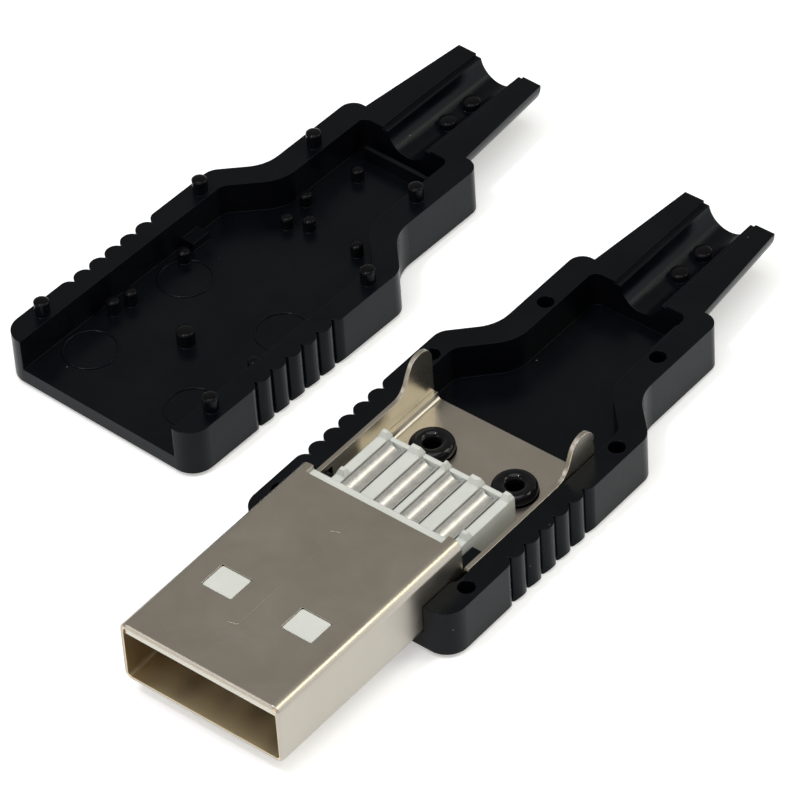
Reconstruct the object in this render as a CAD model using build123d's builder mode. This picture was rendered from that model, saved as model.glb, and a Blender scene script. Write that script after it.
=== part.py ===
from build123d import *
import os
from math import cos, radians, sin, sqrt, tan

# Plug of type A with a two-part housing, for wiring by hand. Lengths are in millimetres.
# +Y runs from the plug's mouth to the cord end, +Z is up, and zero is the middle of the mouth.
# The housing parts on the plane z = 0, which is also the middle of the metal shell.

# Metal shell, folded from one sheet, with a tray that runs on behind it
shell_width = 12.0
shell_height = 4.5
shell_length = 15.9
sheet = 0.3
bend_radius = 0.6
lead_in = 0.12
window_width = 2.25
window_length = 1.95
window_spacing = 6.0
window_from_mouth = 5.16
tray_lip = 0.75
tab_length = 0.7
tab_width = 0.9

# Bracket, a second sheet that cradles the tray and ends in two ears
bracket_wall_top = 0.05
ear_length = 3.6
ear_end_radius = 1.0

# Insulator, moulded in one piece: tongue, block and comb
tongue_front = 0.15
tongue_thickness = 1.85
tongue_lip = 0.55
tongue_lip_length = 1.05
block_front = 11.8
comb_width = 9.9
comb_end = 22.9
channel_width = 1.55
channel_depth = 0.6
channel_front = 17.0
channel_lip = 0.35
channel_lip_rise = 0.45
knob_length = 0.6
knob_rise = 0.4
knob_taper = 22.0
front_knob_y = 18.6

# Contacts, bent strips that end in open troughs
contact_width = 1.0
contact_thickness = 0.2
inner_contact_x = 1.0
outer_contact_x = 3.5
inner_contact_front = 2.6
outer_contact_front = 1.6
contact_step = 14.2
contact_drop = 0.38
contact_bend = 0.15
trough_front = 17.2
trough_end = 22.4
trough_radius = 0.66
trough_wall = 0.15
trough_height = 0.54

# Housing, the same outline for both halves
housing_front = 12.8
housing_width = 16.0
half_depth = 3.65
edge_chamfer = 0.3
front_corner_radius = 1.5
shoulder_start = 32.0
shoulder_past_tray = 3.1
shoulder_radius = 1.3
waist_radius = 2.8
waist_width = 10.9
waist_end = 42.8
waist_corner_radius = 1.0
waist_wall = 1.85
end_wall = 0.9
cavity_corner = 0.6
front_wall = 2.5
neck_end = 51.2
neck_root_width = 8.6
neck_end_width = 6.9
neck_root_depth = 2.9
neck_end_depth = 2.7
neck_flare = 0.4
cord_radius = 1.6
cord_ledge = 2.0
cord_ledge_depth = 0.2

# Finger grips down both sides
grip_count = 6
grip_pitch = 1.415
grips_start = 18.25
grip_radius = 0.717
grip_flat = 0.18

# Pegs and sockets in the rims, from the cavity's side wall
peg_radius = 0.5
peg_height = 1.0
peg_inset = 0.7
front_peg_y = 15.6
shoulder_peg_y = 30.1
waist_peg_y = 37.9
socket_depth = 1.3

# Hollow posts that stand up through the tray
post_radius = 1.38
post_bore = 0.6
post_bore_depth = 1.7
post_top = -1.42
post_x = 3.15
post_y = 25.1

# Keeper blocks behind the shell's side walls
keeper_length = 2.0
keeper_top = -0.35

# Details inside the halves
rib_y = 40.8
rib_length = 5.2
rib_thickness = 0.3
rib_top = -1.2
guide_front = 38.4
guide_end = 41.2
guide_thickness = 0.35
guide_top = -0.35
tooth_radius = 0.6
tooth_top = -1.1
first_tooth = 45.9
second_tooth = 48.3
centre_stop_radius = 0.6
centre_stop_y = 20.8
side_stop_radius = 0.42
side_stops = [(-5.2, 21.4), (-5.5, 20.1), (5.2, 21.4)]
stop_height = 1.0
cord_peg_radius = 0.42
cord_peg_height = 0.8
cord_pegs = [(-2.8, 35.2), (-2.3, 32.8), (-1.0, 33.5), (-1.75, 39.0), (3.0, 33.5), (-5.3, 26.4)]
pad_front = 27.4
pad_length = 1.5
pad_width = 0.95
pad_height = 0.6

# Clearances
slide_gap = 0.05
strip_gap = 0.02
peg_gap = 0.05
post_gap = 0.1
keeper_gap = 0.1
bracket_gap = 0.5

# Where the loose cover lies, open side up, beside the plug
cover_x = -22.5
cover_y = 3.2
cover_turn = 2.0

# Sizes that follow from the ones above
tray_end = shoulder_start - shoulder_past_tray
ear_start = tray_end - ear_length
shell_half = shell_height / 2
inner_half = shell_half - sheet
bracket_half_width = shell_width / 2 + sheet
bracket_floor = -shell_half - sheet
cavity_half_width = bracket_half_width + slide_gap
side_wall = housing_width / 2 - cavity_half_width
waist_half_width = waist_width / 2 - waist_wall
waist_start = shoulder_start + (housing_width - waist_width) / 2
cavity_end = waist_end - end_wall
cavity_front = housing_front + front_wall
cover_floor = -shell_half - slide_gap
tongue_underside = inner_half - tongue_thickness
block_half_width = shell_width / 2 - sheet - slide_gap
outer_wall = comb_width / 2 - outer_contact_x - channel_width / 2
block_end = shell_length + tab_length
keeper_front = block_end + keeper_gap
keeper_inner = comb_width / 2 + keeper_gap
keeper_end = keeper_front + keeper_length
bracket_front = keeper_end + bracket_gap
blade_level = tongue_underside + contact_thickness / 2
tail_level = blade_level - contact_drop
channel_floor = tail_level - contact_thickness / 2 - strip_gap
channel_lip_top = channel_floor + channel_lip_rise
comb_top = channel_floor + channel_depth
contact_rows = [
    (-outer_contact_x, outer_contact_front),
    (-inner_contact_x, inner_contact_front),
    (inner_contact_x, inner_contact_front),
    (outer_contact_x, outer_contact_front),
]
peg_spots = [
    (cavity_half_width + peg_inset, front_peg_y),
    (cavity_half_width + peg_inset, shoulder_peg_y),
    (waist_half_width + peg_inset, waist_peg_y),
]
ridge_middle = housing_width / 2 - sqrt(grip_radius ** 2 - (grip_flat / 2) ** 2)
past = 1.0


def station(y, x=0.0):
    """Upright plane across the plug, facing the cord end."""
    return Plane(origin=(x, y, 0), x_dir=(-1, 0, 0), z_dir=(0, 1, 0))


def both_sides(spots):
    """The spots and their mirror images."""
    return [(side * x, y) for x, y in spots for side in (-1, 1)]


def half_outline(front, half_width, bend, narrow_half_width, end, radii):
    """Right half of a housing's outline, from axis to axis."""
    narrow = bend + half_width - narrow_half_width
    corners = [
        (0, front), (half_width, front), (half_width, bend),
        (narrow_half_width, narrow), (narrow_half_width, end), (0, end),
    ]
    return FilletPolyline(*corners, radius=radii)


def tube_section():
    """Section of the shell's folded sheet."""
    RectangleRounded(shell_width, shell_height, bend_radius)
    inside = (shell_width - 2 * sheet, shell_height - 2 * sheet, bend_radius - sheet)
    RectangleRounded(*inside, mode=Mode.SUBTRACT)


def contact_path(front):
    """Middle line of a contact strip, in the plane of its bends."""
    corners = [
        (front, blade_level), (contact_step, blade_level),
        (contact_step, tail_level), (trough_front + trough_wall, tail_level),
    ]
    return FilletPolyline(*corners, radius=contact_bend)


def housing_half(seat, cavity_start, cavity_floor):
    """One moulded half, open at the plane of the seat, with its grips, neck and cord channel."""
    def across(y):
        return Plane(origin=seat.from_local_coords((0, y, 0)), x_dir=seat.x_dir, z_dir=seat.y_dir)

    with BuildPart() as half:
        with BuildSketch(seat):
            with BuildLine():
                radii = [front_corner_radius, shoulder_radius, waist_radius, waist_corner_radius]
                sizes = (housing_front, housing_width / 2, shoulder_start, waist_width / 2, waist_end)
                half_outline(*sizes, radii)
                mirror(about=Plane.YZ)
            make_face()
        extrude(amount=-half_depth)
        chamfer(half.faces().sort_by(Axis.Z)[0].edges(), edge_chamfer)

        # Neck, half an oval that narrows towards its end
        neck = [
            (cavity_end, neck_root_width / 2, neck_root_depth),
            (neck_end, neck_end_width / 2, neck_end_depth),
        ]
        for y, half_width, depth in neck:
            with BuildSketch(across(y)):
                Ellipse(half_width, depth)
                Rectangle(2 * half_width, depth, align=(Align.CENTER, Align.MIN), mode=Mode.INTERSECT)
        loft()

        # Cavity, one wall inside the outline
        wall_offset = side_wall * tan(radians(22.5))
        with BuildSketch(seat):
            with BuildLine():
                radii = [cavity_corner, shoulder_radius, waist_radius, cavity_corner]
                bend = shoulder_start - wall_offset
                half_outline(cavity_start, cavity_half_width, bend, waist_half_width, cavity_end, radii)
                mirror(about=Plane.YZ)
            make_face()
        extrude(amount=cavity_floor, mode=Mode.SUBTRACT)

        # Half-round channel for the cord with a ledge on each side, to the end of the neck
        with BuildSketch(across(cavity_end - past)):
            Circle(cord_radius)
            Rectangle(2 * cord_ledge, 2 * cord_ledge_depth)
        extrude(amount=neck_end - cavity_end + 2 * past, mode=Mode.SUBTRACT)

        # Grips, a row of rounded ridges down each side
        for side, align in ((-1, Align.MAX), (1, Align.MIN)):
            with BuildSketch(seat):
                with Locations((side * ridge_middle, grips_start)):
                    Rectangle(grip_radius + past, grip_count * grip_pitch, align=(align, Align.MIN))
                    with GridLocations(0, grip_pitch, 1, grip_count + 1, align=(Align.CENTER, Align.MIN)):
                        Circle(grip_radius, mode=Mode.SUBTRACT)
            extrude(amount=-half_depth - past, mode=Mode.SUBTRACT)

        # Two teeth that bite on the cord
        with BuildSketch(seat.offset(-cord_radius - strip_gap)):
            with Locations((0, first_tooth), (0, second_tooth)):
                Circle(tooth_radius)
        extrude(amount=cord_radius + strip_gap + tooth_top)
    return half.part


with BuildPart() as plug_shell:
    # Closed tube at the front
    with BuildSketch(station(0)):
        tube_section()
    extrude(amount=shell_length)
    chamfer(plug_shell.faces().sort_by(Axis.Y)[0].outer_wire().edges(), lead_in)

    # Side walls that run on past the top as two tabs
    with BuildSketch(station(shell_length)):
        tube_section()
        with Locations((-shell_width / 2, 0), (shell_width / 2, 0)):
            Rectangle(2 * tab_width, shell_height, mode=Mode.INTERSECT)
    extrude(amount=tab_length)

    # Tray behind them, with low lips
    with BuildSketch(station(shell_length)):
        tube_section()
        with Locations((0, -shell_half)):
            Rectangle(shell_width, tray_lip, align=(Align.CENTER, Align.MIN), mode=Mode.INTERSECT)
    extrude(amount=tray_end - shell_length)

    # Notches in the tray for the keeper blocks
    with BuildSketch(Plane.XY.offset(-shell_height)):
        for side, align in ((-1, Align.MAX), (1, Align.MIN)):
            with Locations((side * comb_width / 2, block_end)):
                Rectangle(shell_width, keeper_end + keeper_gap - block_end, align=(align, Align.MIN))
    extrude(amount=shell_height, mode=Mode.SUBTRACT)

    # Two windows in the top and two in the bottom, and holes for the posts
    with BuildSketch(Plane.XY.offset(-shell_height)):
        with Locations((0, window_from_mouth + window_length / 2)):
            with GridLocations(window_spacing, 0, 2, 1):
                Rectangle(window_width, window_length)
    extrude(amount=2 * shell_height, mode=Mode.SUBTRACT)
    with BuildSketch(Plane.XY.offset(-shell_height)):
        with Locations(*both_sides([(post_x, post_y)])):
            Circle(post_radius + post_gap)
    extrude(amount=shell_height, mode=Mode.SUBTRACT)
plug_shell.part.label = "plug_shell"


with BuildPart() as rear_bracket:
    # Folded channel as tall as the ears
    wall_middle = bracket_half_width - sheet / 2
    floor_middle = bracket_floor + sheet / 2
    with BuildSketch(station(bracket_front)):
        with BuildLine():
            FilletPolyline(
                (-wall_middle, shell_half), (-wall_middle, floor_middle),
                (wall_middle, floor_middle), (wall_middle, shell_half), radius=bend_radius - sheet / 2,
            )
        trace(line_width=sheet)
    extrude(amount=tray_end - bracket_front)

    # Side profile: a low wall that rises into a rounded ear
    with BuildSketch(Plane.YZ.offset(-bracket_half_width - past)):
        with BuildLine():
            base = Polyline(
                (bracket_front, bracket_floor), (tray_end, bracket_floor),
                (tray_end, shell_half - ear_end_radius),
            )
            tip = JernArc(start=base @ 1, tangent=(0, 1), radius=ear_end_radius, arc_size=90)
            slope = Spline(tip @ 1, (ear_start, bracket_wall_top), tangents=((-1, 0), (-1, 0)))
            Polyline(slope @ 1, (bracket_front, bracket_wall_top), base @ 0)
        make_face()
    extrude(amount=2 * (bracket_half_width + past), mode=Mode.INTERSECT)

    # Holes for the posts
    with BuildSketch(Plane.XY.offset(-shell_height)):
        with Locations(*both_sides([(post_x, post_y)])):
            Circle(post_radius + post_gap)
    extrude(amount=shell_height, mode=Mode.SUBTRACT)
rear_bracket.part.label = "rear_bracket"


with BuildPart() as insulator:
    # Block that fills the shell, cut away below the tongue
    with BuildSketch(station(tongue_front)):
        RectangleRounded(2 * block_half_width, 2 * inner_half, bend_radius - sheet)
    extrude(amount=block_end - tongue_front)
    with BuildSketch(station(tongue_front - past)):
        with Locations((0, tongue_underside)):
            Rectangle(shell_width, shell_height, align=(Align.CENTER, Align.MAX))
    extrude(amount=block_front - tongue_front + past, mode=Mode.SUBTRACT)

    # Thin lip at the tongue's front
    with BuildSketch(station(tongue_front - past)):
        with Locations((0, inner_half - tongue_lip)):
            Rectangle(shell_width, shell_height, align=(Align.CENTER, Align.MAX))
    extrude(amount=tongue_lip_length + past, mode=Mode.SUBTRACT)

    # Comb behind the block
    with BuildSketch(station(block_end)):
        with Locations((0, -inner_half)):
            Rectangle(comb_width, inner_half + comb_top, align=(Align.CENTER, Align.MIN))
    extrude(amount=comb_end - block_end)
    for x, front in contact_rows:
        with BuildSketch(Plane.XY.offset(channel_floor)):
            with Locations((x, channel_front)):
                Rectangle(channel_width, comb_end - channel_lip - channel_front, align=(Align.CENTER, Align.MIN))
        extrude(amount=shell_half, mode=Mode.SUBTRACT)
        with BuildSketch(Plane.XY.offset(channel_lip_top)):
            with Locations((x, comb_end)):
                Rectangle(channel_width, 2 * channel_lip)
        extrude(amount=shell_half, mode=Mode.SUBTRACT)

    # Knobs at the rear ends of the comb's walls, and one near the front of each outer wall
    wall_edges = [-comb_width / 2, comb_width / 2]
    wall_edges += [x + side * channel_width / 2 for x, front in contact_rows for side in (-1, 1)]
    wall_edges.sort()
    with BuildSketch(Plane.XY.offset(comb_top)):
        for left, right in zip(wall_edges[::2], wall_edges[1::2]):
            with Locations(((left + right) / 2, comb_end)):
                Rectangle(right - left, knob_length, align=(Align.CENTER, Align.MAX))
        with Locations((wall_edges[0], front_knob_y)):
            Rectangle(outer_wall, knob_length, align=(Align.MIN, Align.CENTER))
        with Locations((wall_edges[-1], front_knob_y)):
            Rectangle(outer_wall, knob_length, align=(Align.MAX, Align.CENTER))
    extrude(amount=knob_rise, taper=knob_taper)

    # Slots for the contact strips
    for x, front in contact_rows:
        with BuildSketch(Plane.YZ.offset(x - contact_width / 2 - strip_gap)):
            with BuildLine():
                contact_path(front - strip_gap)
            trace(line_width=contact_thickness + 2 * strip_gap)
        extrude(amount=contact_width + 2 * strip_gap, mode=Mode.SUBTRACT)
insulator.part.label = "insulator"


contacts = []
for number, (x, front) in enumerate(contact_rows, start=1):
    with BuildPart() as contact:
        # Strip from the tongue to the comb
        with BuildSketch(Plane.YZ.offset(x - contact_width / 2)):
            with BuildLine():
                contact_path(front)
            trace(line_width=contact_thickness)
        extrude(amount=contact_width)

        # Open round trough that takes the wire
        trough_floor = channel_floor + strip_gap
        with BuildSketch(station(trough_front, x)):
            with Locations((0, trough_floor + trough_radius)):
                Circle(trough_radius)
                Circle(trough_radius - trough_wall, mode=Mode.SUBTRACT)
            with Locations((0, trough_floor)):
                open_size = (2 * trough_radius, trough_height)
                Rectangle(*open_size, align=(Align.CENTER, Align.MIN), mode=Mode.INTERSECT)
        extrude(amount=trough_end - trough_front)
    contact.part.label = f"contact_{number}"
    contacts.append(contact.part)


with BuildPart() as lower_housing:
    add(housing_half(Plane.XY, cavity_front, bracket_floor))

    # Opening that hugs the shell
    with BuildSketch(station(housing_front - past)):
        RectangleRounded(shell_width + 2 * slide_gap, shell_height + 2 * slide_gap, bend_radius + slide_gap)
    extrude(amount=front_wall + 2 * past, mode=Mode.SUBTRACT)

    # Keeper blocks that stand behind the shell's side walls
    with BuildSketch(Plane.XY.offset(bracket_floor)):
        for side, align in ((-1, Align.MIN), (1, Align.MAX)):
            with Locations((side * cavity_half_width, keeper_front)):
                Rectangle(cavity_half_width - keeper_inner, keeper_length, align=(align, Align.MIN))
    extrude(amount=keeper_top - bracket_floor)

    # Hollow posts that come up through the tray
    with BuildSketch(Plane.XY.offset(bracket_floor)):
        with Locations(*both_sides([(post_x, post_y)])):
            Circle(post_radius)
    extrude(amount=post_top - bracket_floor)
    with Locations(*[(x, y, post_top) for x, y in both_sides([(post_x, post_y)])]):
        Hole(post_bore, post_bore_depth)

    # Guide beside the way to the neck
    with BuildSketch(Plane.XY.offset(bracket_floor)):
        with Locations((waist_half_width, guide_front)):
            Rectangle(guide_thickness, guide_end - guide_front, align=(Align.MAX, Align.MIN))
    extrude(amount=guide_top - bracket_floor)

    # Sockets in the rim
    with Locations(*both_sides(peg_spots)):
        Hole(peg_radius + peg_gap, socket_depth)
lower_housing.part.label = "lower_housing"


cover_turn_rad = radians(cover_turn)
cover_seat = Plane(
    origin=(cover_x, cover_y, 0), x_dir=(cos(cover_turn_rad), -sin(cover_turn_rad), 0), z_dir=(0, 0, 1)
)
with BuildPart() as cover:
    add(housing_half(cover_seat, housing_front - past, cover_floor))

    # Pegs on the rim
    with BuildSketch(cover_seat):
        with Locations(*both_sides(peg_spots)):
            Circle(peg_radius)
    extrude(amount=peg_height)

    # Stops over the comb
    with BuildSketch(cover_seat.offset(cover_floor)):
        with Locations((0, centre_stop_y)):
            Circle(centre_stop_radius)
        with Locations(*side_stops):
            Circle(side_stop_radius)
    extrude(amount=stop_height)

    # Pegs that the wires are laid around
    with BuildSketch(cover_seat.offset(cover_floor)):
        with Locations(*cord_pegs):
            Circle(cord_peg_radius)
    extrude(amount=cord_peg_height)

    # Low rib before the neck
    with BuildSketch(cover_seat.offset(cover_floor)):
        with Locations((0, rib_y)):
            Rectangle(rib_length, rib_thickness)
    extrude(amount=rib_top - cover_floor)

    # Pad beside the bracket's ear
    with BuildSketch(cover_seat.offset(cover_floor)):
        with Locations((-cavity_half_width, pad_front)):
            Rectangle(pad_width, pad_length, align=(Align.MIN, Align.MIN))
    extrude(amount=pad_height)
cover.part.label = "cover"


os.makedirs("parts", exist_ok=True)
for piece in [lower_housing.part, cover.part, plug_shell.part, rear_bracket.part, insulator.part] + contacts:
    export_step(piece, f"parts/{piece.label}.step")
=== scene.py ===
from math import cos, radians, sin

import bpy
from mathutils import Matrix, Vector


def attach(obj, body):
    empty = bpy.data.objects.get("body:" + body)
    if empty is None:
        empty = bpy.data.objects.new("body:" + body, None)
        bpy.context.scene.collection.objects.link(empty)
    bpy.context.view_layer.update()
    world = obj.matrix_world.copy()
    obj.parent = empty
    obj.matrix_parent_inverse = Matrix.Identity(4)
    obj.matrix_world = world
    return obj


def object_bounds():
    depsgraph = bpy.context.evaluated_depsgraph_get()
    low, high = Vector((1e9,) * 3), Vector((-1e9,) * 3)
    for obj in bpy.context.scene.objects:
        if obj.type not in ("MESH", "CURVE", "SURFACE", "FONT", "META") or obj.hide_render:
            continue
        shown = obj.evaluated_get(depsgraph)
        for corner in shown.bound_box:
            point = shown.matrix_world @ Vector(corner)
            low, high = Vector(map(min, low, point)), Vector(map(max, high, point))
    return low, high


# Looks for a type A plug whose moulded housing lies open. Lengths are in metres unless said.
# +Y runs from the plug's mouth to the cord end and +Z is up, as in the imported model.

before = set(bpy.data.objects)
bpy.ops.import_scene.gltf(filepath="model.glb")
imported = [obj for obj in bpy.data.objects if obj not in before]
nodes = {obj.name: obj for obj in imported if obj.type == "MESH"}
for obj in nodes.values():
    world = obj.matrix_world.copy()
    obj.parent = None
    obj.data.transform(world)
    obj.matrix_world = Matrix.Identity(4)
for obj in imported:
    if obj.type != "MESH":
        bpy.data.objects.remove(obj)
cad_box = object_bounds()
MM = 0.001

# Where the cover lies beside the lower half: its own origin in millimetres, and its turn
COVER_X, COVER_Y = -22.5, 3.2
COVER_TURN = radians(2)

# Middles of the housing's hollow posts and of the shell's upper windows, in millimetres, one
# of each on either side of the plug
POST_X, POST_Y = 3.15, 25.1
WINDOW_X, WINDOW_Y = 3.0, 6.135

# Bounds of the painted warm reflection inside the shell's closed tube: just past the tube's
# inside, from the middle, and just short of its end
TUBE_HALF_WIDTH = 5.75 * MM
TUBE_HALF_HEIGHT = 2.0 * MM
TUBE_END = 15.5 * MM

# Seam on the shell's top: how many millimetres it runs back from the mouth, how far its tabs
# reach to the left, and the height above which the sheet is the shell's top
SEAM_END = 16
SEAM_REACH = 1.05 * MM
TOP_SHEET = 2.2 * MM

# Faces of a new piece that meet at less than this are shaded as one curve
SMOOTH_ANGLE = radians(40)


def linear(hex_colour):
    """A colour written as sRGB hex, as the linear values that a shader takes."""
    channels = [int(hex_colour[i:i + 2], 16) / 255 for i in (1, 3, 5)]
    return [c / 12.92 if c <= 0.04045 else ((c + 0.055) / 1.055) ** 2.4 for c in channels] + [1.0]


def add_node(material, kind, settings=None, inputs=None):
    """Adds a node, sets its options, and sets or links its inputs."""
    node = material.node_tree.nodes.new(kind)
    for name, value in (settings or {}).items():
        setattr(node, name, value)
    for name, value in (inputs or {}).items():
        if isinstance(value, bpy.types.NodeSocket):
            material.node_tree.links.new(value, node.inputs[name])
        else:
            node.inputs[name].default_value = value
    return node


def blank_material(name):
    """A material with no nodes yet."""
    material = bpy.data.materials.new(name)
    material.use_nodes = True
    material.node_tree.nodes.clear()
    return material


def object_place(material):
    """The Object coordinates that every pattern stands on."""
    return add_node(material, "ShaderNodeTexCoord").outputs["Object"]


def finish_material(material, inputs):
    """Adds the shader with these inputs and links it to the material's output."""
    shader = add_node(material, "ShaderNodeBsdfPrincipled", inputs=inputs)
    add_node(material, "ShaderNodeOutputMaterial", inputs={"Surface": shader.outputs["BSDF"]})
    return material


def calculated(material, operation, *values):
    """A Math node's result."""
    node = add_node(material, "ShaderNodeMath", {"operation": operation}, dict(enumerate(values)))
    return node.outputs["Value"]


def noise(material, place, size, detail=2.0, roughness=0.5, distortion=0.0):
    """Noise with cells about as many millimetres long as size says."""
    return add_node(material, "ShaderNodeTexNoise", inputs={
        "Vector": place, "Scale": 1 / (size * MM), "Detail": detail, "Roughness": roughness,
        "Distortion": distortion,
    }).outputs["Fac"]


def mapped(material, value, span, result, interpolation="LINEAR"):
    """Maps a span of values onto the two ends of the result, and holds it there beyond them."""
    return add_node(material, "ShaderNodeMapRange", {"interpolation_type": interpolation}, {
        "Value": value, "From Min": span[0], "From Max": span[1],
        "To Min": result[0], "To Max": result[1],
    }).outputs["Result"]


def toned(material, value, low_colour, high_colour, low=0.3, high=0.7):
    """Goes from one colour to the other as the value goes from low to high."""
    ramp = add_node(material, "ShaderNodeValToRGB", inputs={"Fac": value})
    stops = zip(ramp.color_ramp.elements, (low, high), (low_colour, high_colour))
    for element, spot, colour in stops:
        element.position = spot
        element.color = linear(colour)
    return ramp.outputs["Color"]


def mixed(material, factor, first, second):
    """Goes from the first colour to the second as the factor goes from 0 to 1."""
    return add_node(material, "ShaderNodeMix", {"data_type": "RGBA"}, {
        "Factor": factor, 6: first, 7: second,
    }).outputs[2]


def broken_edges(material, radius, samples):
    """The normal of a surface whose sharp edges are rounded by a radius in millimetres."""
    node = add_node(material, "ShaderNodeBevel", {"samples": samples}, {"Radius": radius * MM})
    return node.outputs["Normal"]


def bumped(material, height, strength, distance, normal=None):
    """The normal of a surface with a relief as high as distance says, in millimetres."""
    inputs = {"Height": height, "Strength": strength, "Distance": distance * MM}
    if normal is not None:
        inputs["Normal"] = normal
    return add_node(material, "ShaderNodeBump", inputs=inputs).outputs["Normal"]


# Black ABS, injection moulded in a lightly spark-eroded tool. The eye gets a soft sheen on
# flat walls, a fine grain in it, slow waves where the melt shrank, and a few pale dust flecks.
def moulded_abs(name):
    material = blank_material(name)
    place = object_place(material)
    # The tool's grain is about 0.05 mm, drawn at 0.12 mm so that it shows
    grain = noise(material, place, 0.12, roughness=0.6)
    flow = noise(material, place, 5, detail=4.0, roughness=0.6)
    tone = toned(material, flow, "#05060a", "#090b0f", low=0.35)
    # Dust flecks are 0.06 to 0.13 mm across, and about one in seven cells of 1.1 mm holds one
    cells = add_node(material, "ShaderNodeTexVoronoi", inputs={
        "Vector": place, "Scale": 1 / (1.1 * MM),
    })
    lots = add_node(material, "ShaderNodeSeparateColor", inputs={"Color": cells.outputs["Color"]})
    kept = calculated(material, "LESS_THAN", lots.outputs["Red"], 0.15)
    fleck = mapped(material, cells.outputs["Distance"], (0.03, 0.06), (1.0, 0.0))
    fleck = calculated(material, "MULTIPLY", fleck, kept)
    # Edges are broken by 0.06 mm
    edge = broken_edges(material, 0.06, 8)
    shrink = bumped(material, flow, 0.3, 0.08, edge)
    return finish_material(material, {
        "Base Color": mixed(material, fleck, tone, linear("#5a585c")),
        "Roughness": mapped(material, flow, (0.3, 0.7), (0.22, 0.32)),
        "IOR": 1.53, "Specular IOR Level": 0.11, "Specular Tint": linear("#e6f2ff"),
        "Normal": bumped(material, grain, 0.2, 0.008, shrink),
    })


# The same ABS where a hot tool rolled it over, or where the mould was polished. The eye gets a
# wet gloss with soft waves and small bright glints.
def glossy_abs(name, specular):
    material = blank_material(name)
    place = object_place(material)
    # The rolled skin sets in waves about 0.9 mm long
    waves = noise(material, place, 0.9)
    return finish_material(material, {
        "Base Color": toned(material, waves, "#070709", "#0c0c10"),
        "Roughness": mapped(material, waves, (0.3, 0.7), (0.06, 0.13)),
        "IOR": 1.53, "Specular IOR Level": specular,
        "Normal": bumped(material, waves, 0.5, 0.06),
    })


# Nickel plate on cold-rolled steel sheet. The eye gets a warm grey metal with a satin shine,
# finely mottled by the plating, a trace of the rolling's lines, and duller where it was handled.
# Inside the closed tube a lighter warm tan is painted into the base colour as reflected light.
def nickel_plate(name, cut_in=None):
    material = blank_material(name)
    place = object_place(material)
    # Rolling lines are 0.02 mm apart, drawn at 0.1 mm, and a few millimetres long
    drawn = add_node(material, "ShaderNodeMapping", inputs={
        "Vector": place, "Scale": (1.0, 0.05, 1.0),
    })
    lines = noise(material, drawn.outputs["Vector"], 0.1)
    # The plating's mottle is about 0.1 mm, drawn at 0.2 mm
    mottle = noise(material, place, 0.2, detail=3.0, roughness=0.65)
    wipe = noise(material, place, 4, detail=5.0, roughness=0.65, distortion=0.4)
    # Edges are broken by 0.06 mm
    edge = broken_edges(material, 0.06, 6)
    rolled = bumped(material, lines, 0.1, 0.001, edge)
    plated = bumped(material, mottle, 0.2, 0.004, rolled)
    # Inside the closed tube the base colour is a lighter warm tan, a painted reflection of the
    # warm light bounced about inside the tube
    where = add_node(material, "ShaderNodeSeparateXYZ", inputs={"Vector": place}).outputs
    in_width = calculated(material, "COMPARE", where["X"], 0.0, TUBE_HALF_WIDTH)
    in_height = calculated(material, "COMPARE", where["Z"], 0.0, TUBE_HALF_HEIGHT)
    in_length = calculated(material, "LESS_THAN", where["Y"], TUBE_END)
    inside = calculated(material, "MULTIPLY", in_width, in_height)
    inside = calculated(material, "MULTIPLY", inside, in_length)
    tone = toned(material, wipe, "#aba69c", "#b1aca3")
    return finish_material(material, {
        "Base Color": mixed(material, inside, tone, linear("#d4c2a4")), "Metallic": 1.0,
        "Roughness": mapped(material, wipe, (0.3, 0.7), (0.26, 0.34)),
        "Normal": cut_in(material, place, plated) if cut_in else plated,
    })


# Hairline on the shell's top where the sheet's two edges meet, with two interlocking tabs
def sheet_seam(material, place, normal):
    where = add_node(material, "ShaderNodeSeparateXYZ", inputs={"Vector": place}).outputs
    along = mapped(material, where["Y"], (0.0, SEAM_END * MM), (0.0, 1.0))
    path = add_node(material, "ShaderNodeFloatCurve", inputs={"Value": along})
    # Corners as millimetres from the mouth, and where the line is between its furthest left
    # at 0 and the shell's middle at 1
    corners = [
        (0, 0.8), (2.1, 0.8), (2.3, 0.4), (3.7, 0.2), (3.9, 0.8),
        (11.0, 0.8), (11.2, 0.4), (12.9, 0.3), (13.1, 0.8),
    ]
    curve = path.mapping.curves[0]
    for from_mouth, side in corners[1:]:
        curve.points.new(from_mouth / SEAM_END, side)
    curve.points[0].location = (0, 0.8)
    curve.points[-1].location = (1, 0.8)
    for point in curve.points:
        point.handle_type = "VECTOR"
    path.mapping.update()
    middle = mapped(material, path.outputs["Value"], (0.0, 1.0), (-SEAM_REACH, 0.0))
    off_line = calculated(material, "SUBTRACT", where["X"], middle)
    off_line = calculated(material, "ABSOLUTE", off_line)
    groove = mapped(material, off_line, (0.01 * MM, 0.06 * MM), (0.0, 1.0), "SMOOTHSTEP")
    # The plating fills the hairline in places
    filled = mapped(material, noise(material, place, 1.6), (0.4, 0.62), (0.4, 1.0))
    on_top = calculated(material, "GREATER_THAN", where["Z"], TOP_SHEET)
    depth = calculated(material, "MULTIPLY", filled, on_top)
    height = calculated(material, "MULTIPLY", groove, depth)
    return bumped(material, height, 0.42, 0.03, normal)


# White PBT, glass filled and moulded. The eye gets a chalky white with a dull shine.
def moulded_pbt(name):
    material = blank_material(name)
    place = object_place(material)
    # Fibres near the skin show as specks about 0.1 mm long
    specks = noise(material, place, 0.1, detail=3.0, roughness=0.6)
    # Edges are rounded by 0.15 mm
    edge = broken_edges(material, 0.15, 6)
    return finish_material(material, {
        "Base Color": toned(material, noise(material, place, 2), "#c7ccc8", "#cfd3d0"),
        "Roughness": 0.42, "IOR": 1.55, "Normal": bumped(material, specks, 0.15, 0.01, edge),
    })


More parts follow.
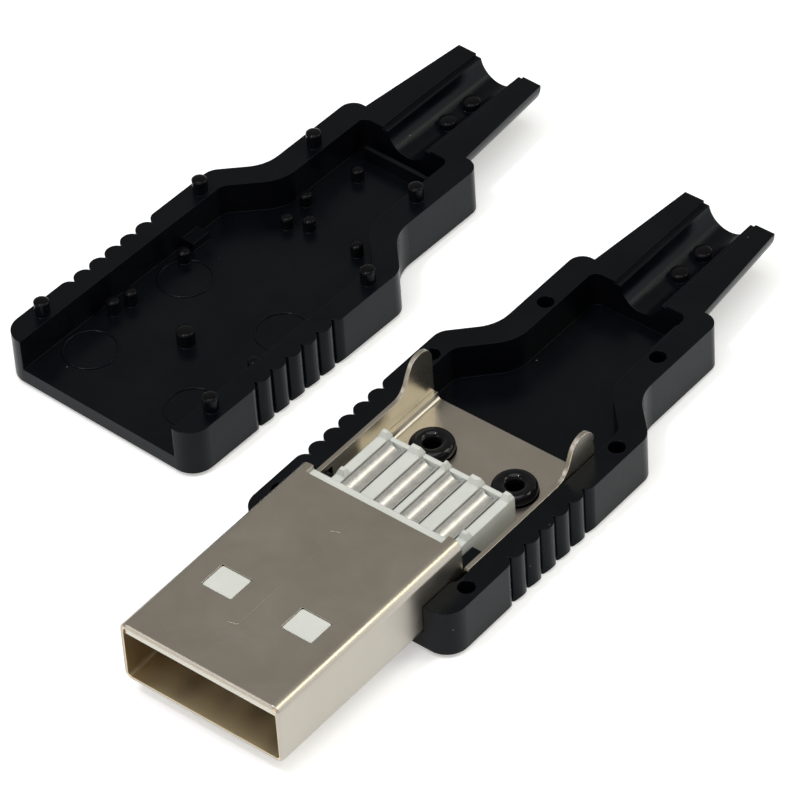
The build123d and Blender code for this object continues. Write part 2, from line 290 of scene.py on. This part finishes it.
# Phosphor bronze strip, tin plated by dipping. The eye gets a bright pale grey with soft waves.
def tin_plate(name):
    material = blank_material(name)
    place = object_place(material)
    # The dipped tin sets in low waves about half a millimetre long
    waves = noise(material, place, 0.5)
    return finish_material(material, {
        "Base Color": toned(material, waves, "#c6c6c4", "#d8d8d6"), "Metallic": 1.0,
        "Roughness": 0.42, "Normal": bumped(material, waves, 0.3, 0.02),
    })


# Matt white paper sweep, lit by the lamps and shown to the eye and in the metal as pure white
def paper_sweep(name):
    material = blank_material(name)
    rays = add_node(material, "ShaderNodeLightPath").outputs
    seen = calculated(material, "MAXIMUM", rays["Is Camera Ray"], rays["Is Glossy Ray"])
    seen = calculated(material, "MAXIMUM", seen, rays["Is Transmission Ray"])
    # What the eye and the metal see is lifted by 0.35 to pure white
    return finish_material(material, {
        "Base Color": linear("#eef1f5"), "Roughness": 0.9, "Specular IOR Level": 0.0,
        "Emission Color": linear("#ffffff"),
        "Emission Strength": calculated(material, "MULTIPLY", seen, 0.35),
    })


abs_black = moulded_abs("moulded_abs_black")
abs_staked = glossy_abs("heat_staked_abs_black", 0.2)
abs_polished = glossy_abs("polished_abs_black", 0.09)
nickel = nickel_plate("nickel_plated_sheet")
nickel_seamed = nickel_plate("nickel_plated_sheet_with_seam", sheet_seam)
pbt_white = moulded_pbt("moulded_pbt_white")
tin = tin_plate("tin_plated_strip")

for finish, names in [
    (abs_black, ["lower_housing", "cover"]),
    (nickel_seamed, ["plug_shell"]),
    (nickel, ["rear_bracket"]),
    (pbt_white, ["insulator"]),
    (tin, ["contact_1", "contact_2", "contact_3", "contact_4"]),
]:
    for name in names:
        nodes[name].data.materials.clear()
        nodes[name].data.materials.append(finish)


def cover_spot(across, along):
    """Where a spot in the cover's own plan, in millimetres, lies in the scene."""
    x = COVER_X + across * cos(COVER_TURN) + along * sin(COVER_TURN)
    y = COVER_Y - across * sin(COVER_TURN) + along * cos(COVER_TURN)
    return x * MM, y * MM


def flat_start(name, middle, size, rotation=(0, 0, 0)):
    """A new piece, so far one flat face of this size about its middle, left in edit mode."""
    bpy.ops.object.select_all(action="DESELECT")
    bpy.ops.mesh.primitive_plane_add(size=1.0, location=middle, rotation=rotation)
    piece = bpy.context.object
    piece.name = name
    bpy.ops.object.transform_apply(location=True, rotation=True, scale=True)
    bpy.ops.object.mode_set(mode="EDIT")
    bpy.ops.mesh.select_all(action="SELECT")
    bpy.ops.transform.resize(value=size, center_override=middle)
    return piece


def extrude(x, y, z):
    """Extrudes what is selected by a move in metres."""
    bpy.ops.mesh.extrude_region_move(TRANSFORM_OT_translate={"value": (x, y, z)})


def close_piece(piece, material):
    """Turns the normals outward and leaves edit mode, with the origin at the scene's own."""
    bpy.ops.mesh.select_all(action="SELECT")
    bpy.ops.mesh.normals_make_consistent(inside=False)
    bpy.ops.object.mode_set(mode="OBJECT")
    bpy.ops.object.origin_set(type="ORIGIN_CURSOR")
    piece.data.materials.append(material)


def rounded_ring(name, spot, material, level, radius, width, height, rounding):
    """A ring of rounded section about an upright axis. All but the spot is in millimetres."""
    x, y = spot
    section = (x + radius * MM, y, level * MM)
    ring = flat_start(name, section, (width * MM, 1.0, height * MM), (radians(90), 0, 0))
    bpy.ops.mesh.bevel(offset=rounding * MM, segments=8, affect="VERTICES")
    bpy.ops.mesh.delete(type="ONLY_FACE")
    bpy.ops.mesh.select_all(action="SELECT")
    bpy.ops.mesh.spin(steps=64, angle=radians(360), center=(x, y, 0), axis=(0, 0, 1))
    bpy.ops.mesh.select_all(action="SELECT")
    bpy.ops.mesh.remove_doubles(threshold=0.0005 * MM)
    close_piece(ring, material)
    bpy.ops.object.shade_smooth()
    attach(ring, "root")


# Rolled rims, where the hollow posts were staked over the tray with a hot tool
for name, post_x in [("staked_rim_left", -POST_X), ("staked_rim_right", POST_X)]:
    rounded_ring(
        name, (post_x * MM, POST_Y * MM), abs_staked,
        level=-1.65, radius=0.97, width=0.97, height=0.9, rounding=0.43,
    )

# Low round ridges that the mould's ejector pins left on the floor of the cover
for name, across, along in [
    ("pin_mark_front_left", -4.3, 16.7), ("pin_mark_front_right", 4.3, 16.7),
    ("pin_mark_rear_left", -4.1, 25.2), ("pin_mark_rear_right", 4.1, 25.2),
]:
    rounded_ring(
        name, cover_spot(across, along), abs_black,
        level=-2.3, radius=1.75, width=0.18, height=0.14, rounding=0.06,
    )


def rounded_tips(name, radius, level, spots):
    """Low domes on round pegs, as one piece. All but the spots are in millimetres."""
    inset = 0.98
    dome_rise = 0.15 * MM
    sunk = 0.02
    step_angle = 15
    bpy.ops.object.select_all(action="DESELECT")
    bpy.ops.object.add(type="MESH", location=(0, 0, 0))
    tips = bpy.context.object
    tips.name = name
    bpy.ops.object.mode_set(mode="EDIT")
    for x, y in spots:
        bpy.ops.mesh.select_all(action="DESELECT")
        peg_top = (x, y, level * MM)
        bpy.ops.mesh.primitive_circle_add(
            vertices=32, radius=inset * radius * MM, fill_type="NGON",
            location=(x, y, (level - sunk) * MM),
        )
        for angle in range(step_angle, 90, step_angle):
            before = angle - step_angle
            rise = dome_rise * (sin(radians(angle)) - sin(radians(before)))
            shrink = cos(radians(angle)) / cos(radians(before))
            extrude(0, 0, rise)
            bpy.ops.transform.resize(value=(shrink, shrink, 1.0), center_override=peg_top)
    close_piece(tips, abs_polished)
    bpy.ops.object.shade_smooth_by_angle(angle=SMOOTH_ANGLE)
    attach(tips, "root")


# Rounded tips on the cover's pegs and stops, and on the teeth in both necks
neck_teeth = [(0, 45.9), (0, 48.3)]
for name, radius, level, spots in [
    ("rim_peg_tips", 0.5, 1.0, [
        (-7.05, 15.6), (7.05, 15.6), (-7.05, 30.1), (7.05, 30.1), (-4.3, 37.9), (4.3, 37.9),
    ]),
    ("centre_stop_tip", 0.6, -1.3, [(0, 20.8)]),
    ("side_stop_tips", 0.42, -1.3, [(-5.2, 21.4), (-5.5, 20.1), (5.2, 21.4)]),
    ("wire_peg_tips", 0.42, -1.5, [
        (-2.8, 35.2), (-2.3, 32.8), (-1.0, 33.5), (-1.75, 39.0), (3.0, 33.5), (-5.3, 26.4),
    ]),
    ("cover_tooth_tips", 0.6, -1.1, neck_teeth),
]:
    rounded_tips(name, radius, level, [cover_spot(*spot) for spot in spots])
rounded_tips("housing_tooth_tips", 0.6, -1.1, [(x * MM, y * MM) for x, y in neck_teeth])


def window_boss(name, x):
    """A pad 2.24 by 1.94 mm and 0.27 mm high, with rounded corners and a broken upper edge."""
    y = WINDOW_Y * MM
    foot, top = 1.94 * MM, 2.21 * MM
    edge_height = 0.05 * MM
    boss = flat_start(name, (x, y, foot), (2.24 * MM, 1.94 * MM, 1.0))
    bpy.ops.mesh.bevel(offset=0.17 * MM, segments=5, affect="VERTICES")
    bpy.ops.mesh.select_all(action="SELECT")
    extrude(0, 0, top - foot - edge_height)
    extrude(0, 0, edge_height)
    bpy.ops.transform.resize(value=(0.965, 0.96, 1.0), center_override=(x, y, top))
    close_piece(boss, pbt_white)
    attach(boss, "root")


# Low bosses of the insulator that fill the windows in the shell's top
window_boss("window_boss_left", -WINDOW_X * MM)
window_boss("window_boss_right", WINDOW_X * MM)


def wall_tongue(name, inner_x):
    """A strip 0.31 mm thick, 2.63 mm long and 0.375 mm high, with a rounded upper front corner."""
    middle = (inner_x, 18.005 * MM, -0.1325 * MM)
    tongue = flat_start(name, middle, (1.0, 2.63 * MM, 0.375 * MM), (0, radians(90), 0))
    bpy.ops.object.mode_set(mode="OBJECT")
    for vertex in tongue.data.vertices:
        vertex.select = vertex.co.y < middle[1] and vertex.co.z > middle[2]
    bpy.ops.object.mode_set(mode="EDIT")
    bpy.ops.mesh.bevel(offset=0.2 * MM, segments=6, affect="VERTICES")
    bpy.ops.mesh.select_all(action="SELECT")
    extrude(0.31 * MM, 0, 0)
    close_piece(tongue, nickel)
    bpy.ops.object.shade_smooth_by_angle(angle=SMOOTH_ANGLE)
    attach(tongue, "root")


# Tongues of the bracket's side walls that run forward over the housing's keeper blocks, where
# each laps the wall by 0.12 mm
wall_tongue("wall_tongue_left", -6.305 * MM)
wall_tongue("wall_tongue_right", 5.995 * MM)

# Floor, 0.02 mm below the two halves of the housing so that no faces coincide
bpy.ops.object.select_all(action="DESELECT")
bpy.ops.mesh.primitive_plane_add(size=3.0, location=(0, 0, cad_box[0][2] - 0.02 * MM))
floor = bpy.context.object
floor.name = "paper_floor"
floor.data.materials.append(paper_sweep("matt_paper_white"))

# Camera with a long lens, above the mouth and to its right
camera_data = bpy.data.cameras.new("camera")
camera_data.lens = 233.3
camera_data.sensor_width = 36.0
camera_data.clip_start = 0.01
camera_data.clip_end = 10.0
camera = bpy.data.objects.new("camera", camera_data)
camera.location = (0.14580, -0.14588, 0.21311)
camera.rotation_euler = (radians(47.012), radians(2.965), radians(38.738))
bpy.context.scene.collection.objects.link(camera)
bpy.context.scene.camera = camera


def softbox(name, power, width, place, aim=(0, 0.02, 0), colour="#ffffff"):
    """A square lamp that faces the spot it is aimed at."""
    lamp_data = bpy.data.lights.new(name, "AREA")
    lamp_data.color = linear(colour)[:3]
    lamp_data.energy = power
    lamp_data.size = width
    lamp = bpy.data.objects.new(name, lamp_data)
    lamp.location = place
    lamp.rotation_euler = (Vector(place) - Vector(aim)).to_track_quat("Z", "Y").to_euler()
    bpy.context.scene.collection.objects.link(lamp)


softbox("overhead_softbox", 2.4, 0.6, (0.05, -0.10, 0.75))
softbox("right_softbox", 1.0, 0.5, (0.45, 0.52, 0.16))
softbox("rear_right_softbox", 0.65, 0.2, (0.30, 0.32, 0.45), colour="#fff9e0")
softbox("front_left_softbox", 0.35, 0.3, (-0.32, -0.50, 0.34))
softbox("mouth_softbox", 0.9, 0.2, (0.05, -0.45, 0.06), (0, 0, 0), "#ffe6c8")
softbox("small_key_lamp", 0.9, 0.06, (-0.10, -0.25, 0.65))

world = bpy.data.worlds.new("studio")
world.use_nodes = True
bpy.context.scene.world = world
backdrop = world.node_tree.nodes["Background"]
backdrop.inputs["Color"].default_value = linear("#aca8a2")
backdrop.inputs["Strength"].default_value = 1.0
bpy.context.scene.view_settings.view_transform = "Standard"
